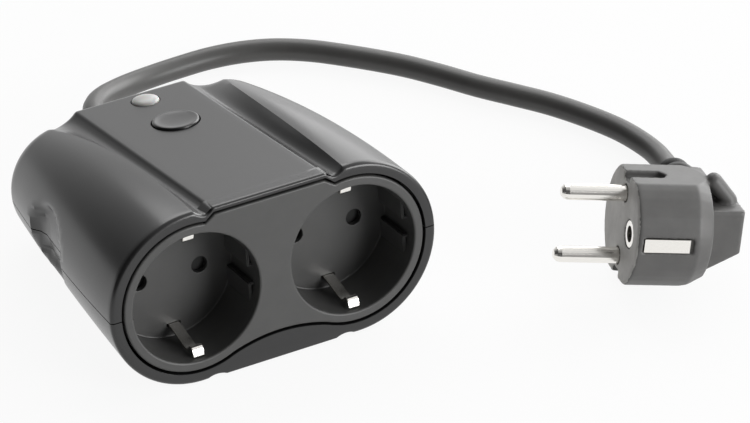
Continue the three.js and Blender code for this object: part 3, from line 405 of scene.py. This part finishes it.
def housing_rows(part):
    rows = []
    for grow, d in ((0.7, 5.2), (0.7, 2.5), (0.7, 0.4), (0.74, 0.14), (0.85, 0.0)):
        rows.append([(u, d, v) for u, v in lip(grow)[part]])
    inner = section(0, FRONT_EDGE, FRONT_EDGE * BAND_ROLL)[part]
    outer = lip(0.85)[part]
    for share in (0.5, 1.0):
        rows.append([(mixed(a[0], b[0], share), 0.0, mixed(a[1], b[1], share))
                     for a, b in zip(outer, inner)])
    stations = [0.06, 0.2, 0.45, 0.8, 1.2, 2.5] + [5 + 3 * k for k in range(25)]
    stations += [79, 81, 82.6, 83.4] + [84 + 0.5 * k for k in range(12)] + [90.2, 90.5, 90.75, 90.9, 91.0]
    for d in stations:
        front = roll(FRONT_EDGE - d, FRONT_EDGE)
        lobe = roll(d - (DEPTH - BACK_ROLL), BACK_ROLL)
        band = roll(d - (DEPTH - BACK_BAND_ROLL), BACK_BAND_ROLL)
        rows.append([(u, d, v) for u, v in section(d, front + lobe, front * BAND_ROLL + band)[part]])
    return rows


GRIP_D, GRIP_V = 51.5, 1.0
GRIP_LONG, GRIP_HIGH = 13.5, 12.5
GRIP_DEEP = 3.0
GRIP_SLOPE = 0.34
GRIP_BEYOND = 30


def soft_step(x):
    x = min(max(x, 0.0), 1.0)
    return x * x * (3 - 2 * x)


def pressed(u, d, v):
    if abs(u) < GRIP_BEYOND:
        return u
    away = math.hypot((d - GRIP_D) / GRIP_LONG, (v - GRIP_V) / GRIP_HIGH)
    return math.copysign(abs(u) - GRIP_DEEP * soft_step((1.0 - away) / GRIP_SLOPE), u)


def grid_mesh(name, rows):
    mesh = bpy.data.meshes.new(name)
    columns = len(rows[0])
    points = [point for row in rows for point in row]
    faces = []
    for r in range(len(rows) - 1):
        for c in range(columns - 1):
            a = r * columns + c
            faces.append((a, a + columns, a + columns + 1, a + 1))
    faces.append(tuple(reversed(range((len(rows) - 1) * columns, len(rows) * columns))))
    mesh.from_pydata(points, [], faces)
    mesh.update()
    return mesh


def full_rows(part):
    whole = []
    for row in housing_rows(part):
        right = [(pressed(u, d, v), d, v) for u, d, v in row]
        left = [(-u, d, v) for u, d, v in right]
        if part == 0:
            whole.append(right[::-1] + left[1:])
        else:
            whole.append(left + right[-2::-1])
    return [[tuple(Vector(point) * MM) for point in row] for row in whole]


upper_mesh = grid_mesh("upper_skin", full_rows(0))
lower_mesh = grid_mesh("lower_skin", full_rows(1))
print("skin faces", len(upper_mesh.polygons), len(lower_mesh.polygons))

# %% [markdown]
# Real shells have a wall, and holes for the button, the light, the lead and the screws. A
# Solidify modifier gives the wall and Boolean modifiers cut the holes, each with a cutter
# that stands square to its surface. The result is kept as a plain mesh, shaded smooth
# except where two faces meet at a clear angle.

# %% Walls and holes
def show(obj, body, slot, *nodes):
    if obj.name not in bpy.context.scene.collection.objects:
        bpy.context.scene.collection.objects.link(obj)
    obj.data.materials.clear()
    obj.data.materials.append(finishes[slot])
    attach(obj, body)
    if nodes:
        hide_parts(*nodes)
    return obj


def apply_all(obj):
    shown = bpy.context.evaluated_depsgraph_get()
    done = bpy.data.meshes.new_from_object(obj.evaluated_get(shown))
    obj.modifiers.clear()
    obj.data = done
    return obj


def smooth(obj, degrees=32):
    limit = math.radians(degrees)
    mesh = obj.data
    mesh.polygons.foreach_set("use_smooth", [True] * len(mesh.polygons))
    shape = bmesh.new()
    shape.from_mesh(mesh)
    for edge in shape.edges:
        edge.smooth = len(edge.link_faces) == 2 and edge.calc_face_angle(0) < limit
    shape.to_mesh(mesh)
    shape.free()
    return obj


def rod(radius, low, high, place, sides=64):
    shape = bmesh.new()
    turn = Matrix.Translation((0, 0, (low + high) / 2 * MM))
    bmesh.ops.create_cone(shape, cap_ends=True, segments=sides, radius1=radius * MM, radius2=radius * MM,
                          depth=(high - low) * MM, matrix=place @ turn)
    mesh = bpy.data.meshes.new("cutter")
    shape.to_mesh(mesh)
    shape.free()
    obj = bpy.data.objects.new("cutter", mesh)
    bpy.context.scene.collection.objects.link(obj)
    return obj


def cut_with(obj, cutters):
    for cutter in cutters:
        change = obj.modifiers.new("hole", "BOOLEAN")
        change.operation = "DIFFERENCE"
        change.solver = "EXACT"
        change.object = cutter
    apply_all(obj)
    for cutter in cutters:
        bpy.data.objects.remove(cutter)
    return obj


BAND_TILT = math.atan(BAND_SLOPE)
CONTROLS_U = 1.8
WALL = 1.3


def on_band(d):
    place = Matrix.Translation(Vector((CONTROLS_U, d, band_line(d))) * MM)
    return place @ Matrix.Rotation(-BAND_TILT, 4, "X")


def shell(name, mesh, cutters):
    obj = bpy.data.objects.new(name, mesh)
    bpy.context.scene.collection.objects.link(obj)
    wall = obj.modifiers.new("wall", "SOLIDIFY")
    wall.thickness = WALL * MM
    wall.offset = -1
    apply_all(obj)
    cut_with(obj, cutters)
    obj.data.transform(housing_place)
    return smooth(obj)


BUTTON_D = 62.5
LENS_D = 82.5
BUTTON_HOLE = 7.3
LENS_HOLE = 4.4
LEAD_HOLE = 4.9
SCREW_WELL = 3.1
lead_way = Matrix.Translation((0, DEPTH * MM, 0)) @ Matrix.Rotation(-math.pi / 2, 4, "X")
upper = shell("upper_shell_skin", upper_mesh, [
    rod(BUTTON_HOLE, -4, 5, on_band(BUTTON_D)), rod(LENS_HOLE, -4, 5, on_band(LENS_D)),
    rod(LEAD_HOLE, -8, 4, lead_way),
])
screw_spots = [(-34.5, 44), (34.5, 44), (-34, 73), (34, 73)]
lower = shell("lower_shell_skin", lower_mesh, [rod(LEAD_HOLE, -8, 4, lead_way)] + [
    rod(SCREW_WELL, -60, base_line(d) + 6, Matrix.Translation(Vector((u, d, 0)) * MM), 40)
    for u, d in screw_spots
])
show(upper, "housing", "shell", "upper_shell")
show(lower, "housing", "shell", "lower_shell")
print("shells", len(upper.data.polygons), len(lower.data.polygons))

# %% [markdown]
# The front panel is one moulding: a face with a rounded edge and two cups. Blender's filled
# 2D curves are a quick way to such plates: an outline with holes, an extrusion and a bevel
# give every edge its small radius. The cups are turned profiles, joined to the same piece.

# %% Plates and turned forms
def plate(name, loops, thick, bevel, steps):
    curve = bpy.data.curves.new(name, "CURVE")
    curve.dimensions = "2D"
    curve.fill_mode = "BOTH"
    curve.extrude = (thick / 2 - bevel) * MM
    curve.bevel_depth = bevel * MM
    curve.bevel_resolution = steps
    for loop in loops:
        spline = curve.splines.new("POLY")
        spline.points.add(len(loop) - 1)
        for knot, (x, y) in zip(spline.points, loop):
            knot.co = (x * MM, y * MM, 0, 1)
        spline.use_cyclic_u = True
    holder = bpy.data.objects.new(name, curve)
    bpy.context.scene.collection.objects.link(holder)
    mesh = bpy.data.meshes.new_from_object(holder.evaluated_get(bpy.context.evaluated_depsgraph_get()))
    bpy.data.objects.remove(holder)
    return mesh


def turned(name, profile, sides=96):
    shape = bmesh.new()
    rings = []
    for radius, height in profile:
        if radius == 0:
            rings.append([shape.verts.new((0, 0, height * MM))])
            continue
        rings.append([shape.verts.new((radius * math.cos(2 * math.pi * k / sides) * MM,
                                       radius * math.sin(2 * math.pi * k / sides) * MM, height * MM))
                      for k in range(sides)])
    for a, b in zip(rings, rings[1:]):
        for k in range(sides):
            j = (k + 1) % sides
            face = [a[k % len(a)], a[j % len(a)], b[j % len(b)], b[k % len(b)]]
            shape.faces.new(list(dict.fromkeys(face)))
    bmesh.ops.recalc_face_normals(shape, faces=shape.faces)
    mesh = bpy.data.meshes.new(name)
    shape.to_mesh(mesh)
    shape.free()
    return mesh


def box_mesh(low, high, bevel):
    shape = bmesh.new()
    size = [(b - a) * MM for a, b in zip(low, high)]
    middle = [(a + b) / 2 * MM for a, b in zip(low, high)]
    bmesh.ops.create_cube(shape, size=1)
    bmesh.ops.scale(shape, vec=size, verts=shape.verts)
    bmesh.ops.translate(shape, vec=middle, verts=shape.verts)
    bmesh.ops.bevel(shape, geom=shape.edges[:], offset=bevel * MM, segments=2, affect="EDGES")
    mesh = bpy.data.meshes.new("box")
    shape.to_mesh(mesh)
    shape.free()
    return mesh


def one_piece(name, meshes):
    shape = bmesh.new()
    for mesh in meshes:
        shape.from_mesh(mesh)
    joined = bpy.data.meshes.new(name)
    shape.to_mesh(joined)
    shape.free()
    return bpy.data.objects.new(name, joined)


def put(mesh, place):
    mesh.transform(place)
    return mesh


def circle(x, y, radius, count):
    return [(x + radius * math.cos(2 * math.pi * k / count), y + radius * math.sin(2 * math.pi * k / count))
            for k in range(count)]


print("plate, turned, box_mesh and one_piece are ready")

# %% [markdown]
# In a plate the outline lies in X and Y and its thickness along Z. The front's own frame has
# u, v and the depth d, so a quarter turn about X stands the plate up: Y becomes v, and Z
# points out of the front.

# %% Front panel
STAND = Matrix.Rotation(math.pi / 2, 4, "X")


def facing(u, v, d):
    return Matrix.Translation(Vector((u, d, v)) * MM) @ STAND


def panel_outline(grow):
    top, under = lip(grow)
    right = top + under[1:]
    return right + [(-u, v) for u, v in right[-2:0:-1]]


SOCKETS = (-HALF, HALF)
RECESS = 19.66
RECESS_DEPTH = 17.5
PINS = (-9.5, 9.5)
PIN_HOLE = 2.65
FACE_THICK, FACE_EDGE = 2.4, 0.55
FLOOR_THICK, FLOOR_EDGE = 2.0, 0.2
SLOT_V, SLOT_HALF, SLOT_HIGH = 16, 2.3, 0.7
KEY_D = (3.8, 17.8)
KEY_WALL, KEY_FOOT = (17.8, 18.7), (17.9, 20.0)
KEY_HIGH, KEY_FOOT_HIGH = (2.5, 10.0), (2.5, 3.4)
rims = [circle(u, 0, RECESS + FACE_EDGE, 128) for u in SOCKETS]
face = plate("face", [panel_outline(-FACE_EDGE)] + rims, FACE_THICK, FACE_EDGE, 3)
pieces_of_panel = [put(face, facing(0, 0, FACE_THICK / 2))]
cup = [(RECESS, 0.6), (RECESS, 6.0), (RECESS, RECESS_DEPTH - 0.4), (RECESS - 0.15, RECESS_DEPTH - 0.1),
       (RECESS - 0.4, RECESS_DEPTH)]
cup_back = [(RECESS + 1.2, 0.6), (RECESS + 1.2, 19.5), (RECESS - 2, 19.5)]
for u in SOCKETS:
    inner = turned("cup", [(r, -d) for r, d in cup], 128)
    outer = turned("cup_back", [(r, -d) for r, d in cup_back], 64)
    holes = [circle(pin, 0, PIN_HOLE, 48) for pin in PINS]
    slots = [[(-SLOT_HALF, v - SLOT_HIGH), (SLOT_HALF, v - SLOT_HIGH),
              (SLOT_HALF, v + SLOT_HIGH), (-SLOT_HALF, v + SLOT_HIGH)] for v in (-SLOT_V, SLOT_V)]
    disc = circle(0, 0, RECESS - FLOOR_EDGE, 128)
    floor_plate = plate("floor", [disc] + holes + slots, FLOOR_THICK, FLOOR_EDGE, 1)
    pieces_of_panel += [put(inner, facing(u, 0, 0)), put(outer, facing(u, 0, 0)),
                        put(floor_plate, facing(u, 0, RECESS_DEPTH + FLOOR_THICK / 2))]
    for side in (-1, 1):
        for up in (-1, 1):
            for across, high in ((KEY_WALL, KEY_HIGH), (KEY_FOOT, KEY_FOOT_HIGH)):
                x = sorted(u + side * edge for edge in across)
                z = sorted(up * edge for edge in high)
                pieces_of_panel.append(box_mesh((x[0], KEY_D[0], z[0]), (x[1], KEY_D[1], z[1]), 0.3))
panel = one_piece("front_panel_face", pieces_of_panel)
panel.data.transform(housing_place)
smooth(panel, 40)
show(panel, "housing", "panel", "front_panel")
print("panel faces", len(panel.data.polygons))

# %% [markdown]
# The earth contacts are what the eye finds first in a dark recess. Each is a strip of thin
# plated metal that rises from the floor along the wall and ends in a rounded nose. A strip
# is a ribbon along a profile, so it is swept from the profile's points with a fixed width.

# %% Earth contacts
def ribbon(points, width, thick, across):
    shape = bmesh.new()
    rows = []
    for k, point in enumerate(points):
        before = Vector(points[max(k - 1, 0)])
        after = Vector(points[min(k + 1, len(points) - 1)])
        way = (after - before).normalized()
        out = Vector(across).cross(way).normalized()
        middle = Vector(point)
        side = Vector(across) * width / 2
        rows.append([shape.verts.new((middle + side * a + out * thick / 2 * b) * MM)
                     for a, b in ((-1, -1), (1, -1), (1, 1), (-1, 1))])
    for first, second in zip(rows, rows[1:]):
        for k in range(4):
            shape.faces.new((first[k], first[(k + 1) % 4], second[(k + 1) % 4], second[k]))
    shape.faces.new(rows[0][::-1])
    shape.faces.new(rows[-1])
    bmesh.ops.recalc_face_normals(shape, faces=shape.faces)
    edges = [edge for edge in shape.edges if edge.calc_face_angle(0) > 0.8]
    bmesh.ops.bevel(shape, geom=edges, offset=0.12 * MM, segments=2, affect="EDGES")
    mesh = bpy.data.meshes.new("ribbon")
    shape.to_mesh(mesh)
    shape.free()
    return mesh


CLIP_WIDTH = 3.3
CLIP_THICK = 0.8
STRAP_D = (22.8, 23.6)


def contact(u, up):
    profile = [(24.0, 13.2), (23.4, 15.4), (22.0, 16.0), (17.5, 16.0), (12, 17.4), (7.5, 18.6),
               (5.8, 18.3), (4.8, 17.4), (4.1, 16.9), (3.3, 17.0), (2.8, 17.9), (2.5, 19.3)]
    rounded = smooth_route([Vector((u, d, up * v)) for d, v in profile], 3)
    return ribbon(rounded, CLIP_WIDTH, CLIP_THICK, (1, 0, 0))


clips = [contact(u, up) for u in SOCKETS for up in (-1, 1)]
straps = [box_mesh((u - 2, STRAP_D[0], -13.6), (u + 2, STRAP_D[1], 13.6), 0.1) for u in SOCKETS]
straps.append(box_mesh((-HALF, STRAP_D[0], 5.6), (HALF, STRAP_D[1], 8.6), 0.1))
earth = one_piece("earth_contacts", clips + straps)
earth.data.transform(housing_place)
smooth(earth, 50)
show(earth, "housing", "contact_nickel", "earth_rail")
print("earth contacts", len(earth.data.polygons))

# %% [markdown]
# A spring under each shutter shortens when the plug's pins push the shutter down. Each is a
# copy of the solid's coil that stands on the trough's floor.

# %% Shutter springs
for side, u in zip(("left", "right"), SOCKETS):
    coil = bpy.data.objects.new(f"coil_{side}", frame["nodes"][f"shutter_spring_{side}"].data.copy())
    show(coil, "housing", "spring_steel", f"shutter_spring_{side}")
    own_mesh(coil)

# %% [markdown]
# The button is a low disc with a raised rim and a dished middle, in the shell's plastic. The
# light shows through a small milky dome. Both are turned profiles that stand square to the
# band. The button rides on its own body, so that it goes down when it is pressed.

# %% Button and light
button_profile = [
    (0, 0.30), (2.0, 0.33), (4.0, 0.42), (5.4, 0.6), (6.0, 0.72), (6.3, 0.76), (6.6, 0.7), (6.82, 0.52),
    (6.9, 0.25), (6.9, -3.4), (5.6, -3.4), (5.6, -1.4), (1.9, -1.4), (1.9, -7.3), (0, -7.3),
]
button = bpy.data.objects.new("button_cap", turned("button", button_profile))
button.data.transform(housing_place @ on_band(BUTTON_D))
smooth(button, 60)
show(button, "button", "shell", "push_button")
LENS_RADIUS = 4.1
LENS_RISE = 1.35
quarter = [math.radians(a) for a in range(0, 91, 10)]
lens_profile = [(LENS_RADIUS * math.sin(a), LENS_RISE * math.cos(a)) for a in quarter]
lens_profile += [(LENS_RADIUS, -2.2), (1.5, -3.2), (1.5, -6.0), (0, -6.0)]
lens = bpy.data.objects.new("light_lens", turned("lens", lens_profile, 64))
lens.data.transform(housing_place @ on_band(LENS_D))
smooth(lens, 60)
show(lens, "housing", "lens", "led_lens")
print("button and lens", len(button.data.polygons), len(lens.data.polygons))

# %% [markdown]
# A plug like this is overmoulded in one soft shot, so no edge of it is sharp. A close voxel
# remesh of the solid's copy, relaxed a few times, rounds every edge alike, as the mould does.
# The face between the pins has a coarser grain, so its faces get a second finish, whose pale colour is
# painted light.

# %% Plug body
pins_way = Vector((-0.938, 0.312, 0.149)).normalized()
plug_up = Vector((0.2064, 0.1593, 0.9654))
plug_spot = Vector((102.9, -61.156, 19.27)) * MM
LEAD_BEHIND_FACE = 28
FACE_STARTS = -0.9


def softened(name, source, voxel, rounds, kept):
    obj = bpy.data.objects.new(name, frame["nodes"][source].data.copy())
    bpy.context.scene.collection.objects.link(obj)
    close = obj.modifiers.new("close", "REMESH")
    close.mode = "VOXEL"
    close.voxel_size = voxel * MM
    relax = obj.modifiers.new("relax", "SMOOTH")
    relax.factor = 0.5
    relax.iterations = rounds
    fewer = obj.modifiers.new("fewer", "DECIMATE")
    fewer.ratio = kept
    return smooth(apply_all(obj), 60)


# Painted light: the pale colour of the face between the pins stands in for light on a face that turns away
# from the lamps; its coarse bump is the moulding's grain.
painted_light_face = plastic("coarse_face_painted_light", (0.36, 0.352, 0.34), (0.7, 0.685, 0.66), 0.55, 1300, 0.00016)
moulding = softened("plug_moulding", "plug_body", voxel=0.4, rounds=5, kept=0.35)
show(moulding, "housing", "plug_plastic", "plug_body")
moulding.data.materials.append(painted_light_face)
for part_face in moulding.data.polygons:
    ahead = (part_face.center - plug_spot).dot(pins_way)
    if ahead > FACE_STARTS * MM and part_face.normal.dot(pins_way) > 0.6:
        part_face.material_index = 1
print("plug faces", len(moulding.data.polygons))

# %% [markdown]
# Both bend protectors are grooved rubber sleeves. They are turned like the button, each about
# the line in which the lead leaves it, with soft shoulders between the grooves.

# %% Bend protectors
def sleeve(start, end, wide, narrow, tip, rings):
    pitch = (end - start) / rings
    groove = [(0, 0.2), (0.25, 0.3), (1.0, 0.38), (1.0, 0.6), (0.3, 0.7), (0.1, 0.9)]
    profile = [(0, start - 2), (wide, start - 2), (wide, start)]
    for k in range(rings):
        low = start + k * pitch
        radius = mixed(wide, narrow, (k + 0.5) / rings)
        for inward, share in groove:
            profile.append((radius - inward, low + share * pitch))
    return profile + [(tip, end), (tip + 0.1, end + 1.2), (tip - 0.4, end + 1.7),
                      (3.4, end + 1.8), (0, end + 1.8)]


lead_across = plug_up.cross(pins_way).normalized()
turn_to_lead = Vector((0, 0, 1)).rotation_difference(-lead_across).to_matrix().to_4x4()
plug_lead = Matrix.Translation(plug_spot - LEAD_BEHIND_FACE * MM * pins_way) @ turn_to_lead
long_profile = sleeve(start=18.0, end=44.2, wide=7.4, narrow=5.1, tip=4.5, rings=5)
plug_sleeve = bpy.data.objects.new("plug_sleeve", turned("plug_sleeve", long_profile, 64))
plug_sleeve.data.transform(plug_lead)
show(smooth(plug_sleeve, 50), "housing", "soft_rubber", "plug_strain_relief")
short_profile = sleeve(start=2.0, end=16.2, wide=6.1, narrow=4.9, tip=4.4, rings=3)
back_sleeve = bpy.data.objects.new("back_sleeve", turned("back_sleeve", short_profile, 64))
back_sleeve.data.transform(housing_place @ lead_way)
show(smooth(back_sleeve, 50), "housing", "soft_rubber", "cord_bend_protector")
on_cord += [moulding, plug_sleeve, back_sleeve]
print("sleeves", len(plug_sleeve.data.polygons), len(back_sleeve.data.polygons))

# %% [markdown]
# The floor is plain white. To the camera and in reflections it glows at the level of white,
# mixed with a share of plain paint that keeps the soft shadow. The world is white as well,
# but for light and reflections it dims towards the left, as a studio with one bright wall.

# %% Floor and world
FLOOR_GLOW = 0.92
floor_mesh = bpy.data.meshes.new("floor")
floor_mesh.from_pydata([(-3, -3, 0), (3, -3, 0), (3, 3, 0), (-3, 3, 0)], [], [(0, 1, 2, 3)])
floor = bpy.data.objects.new("floor", floor_mesh)
floor.location.z = -0.0002
bpy.context.scene.collection.objects.link(floor)
pale = Finish("pale_floor", roughness=0.9, base_color=(0.86, 0.86, 0.86, 1))
white = pale.node("ShaderNodeEmission", sockets={"Color": (1, 1, 1, 1), "Strength": 1.0})
camera_ray = pale.node("ShaderNodeLightPath", output="Is Camera Ray")
glossy_ray = pale.node("ShaderNodeLightPath", output="Is Glossy Ray")
either_ray = pale.node("ShaderNodeMath", {"operation": "MAXIMUM"}, {0: camera_ray, 1: glossy_ray})
shown_white = either_ray * FLOOR_GLOW
painted = Value(pale, pale.surface.outputs[0])
floor_shader = pale.node("ShaderNodeMixShader", sockets={0: shown_white, 1: painted, 2: white})
pale.tree.links.new(floor_shader.socket, pale.tree.nodes["Material Output"].inputs["Surface"])
floor_mesh.materials.append(pale.material)

world = bpy.data.worlds.new("studio")
bpy.context.scene.world = world
world.use_nodes = True
sky = Graph(world.node_tree)
towards = sky.node("ShaderNodeTexCoord", output="Generated")
sideways = sky.node("ShaderNodeVectorMath", {"operation": "DOT_PRODUCT"},
                    {0: towards, 1: (0.95, 0.25, 0.2)}, output="Value")
bright_side = sky.node("ShaderNodeMapRange", {}, {
    "Value": sideways, "From Min": -0.38, "From Max": 0.45, "To Min": 0.08, "To Max": 1.0})
camera_ray = sky.node("ShaderNodeLightPath", output="Is Camera Ray")
glossy_ray = sky.node("ShaderNodeLightPath", output="Is Glossy Ray")
lit = bright_side * (glossy_ray * 0.45 + 0.5)
strength = sky.node("ShaderNodeMix", {"data_type": "FLOAT"}, {0: camera_ray, 2: lit, 3: 1.0})
background = world.node_tree.nodes["Background"]
background.inputs["Color"].default_value = (1, 1, 1, 1)
world.node_tree.links.new(strength.socket, background.inputs["Strength"])
print("floor and world are white to the camera")

# %% [markdown]
# Four soft lamps, none of them seen by the camera. The key is high behind and gives the bright
# band on top, the side lamp lights the right end, and a weak one stands low behind on the
# right. The fill at the front right reaches into the sockets, and the left side stays dark.

# %% Lamps
def softbox(name, place, aim, size, power):
    lamp = bpy.data.lights.new(name, "AREA")
    lamp.size = size
    lamp.energy = power
    holder = bpy.data.objects.new(name, lamp)
    holder.location = place
    holder.rotation_mode = "QUATERNION"
    holder.rotation_quaternion = (Vector(aim) - Vector(place)).to_track_quat("-Z", "Y")
    holder.visible_camera = False
    bpy.context.scene.collection.objects.link(holder)


softbox("key", (0.4, 1.2, 1.3), (0, 0, 0), 1.0, 9)
softbox("side", (1.3, 0.3, 0.5), (0, 0, 0), 1.0, 14)
softbox("low", (0.9, 0.95, 0.3), (0, 0, 0.03), 0.7, 2.4)
softbox("fill", (0.95, -1.4, 0.42), (0, 0, 0), 0.9, 20)
bpy.context.scene.view_settings.view_transform = "Standard"
print("lamps", len(bpy.data.lights))
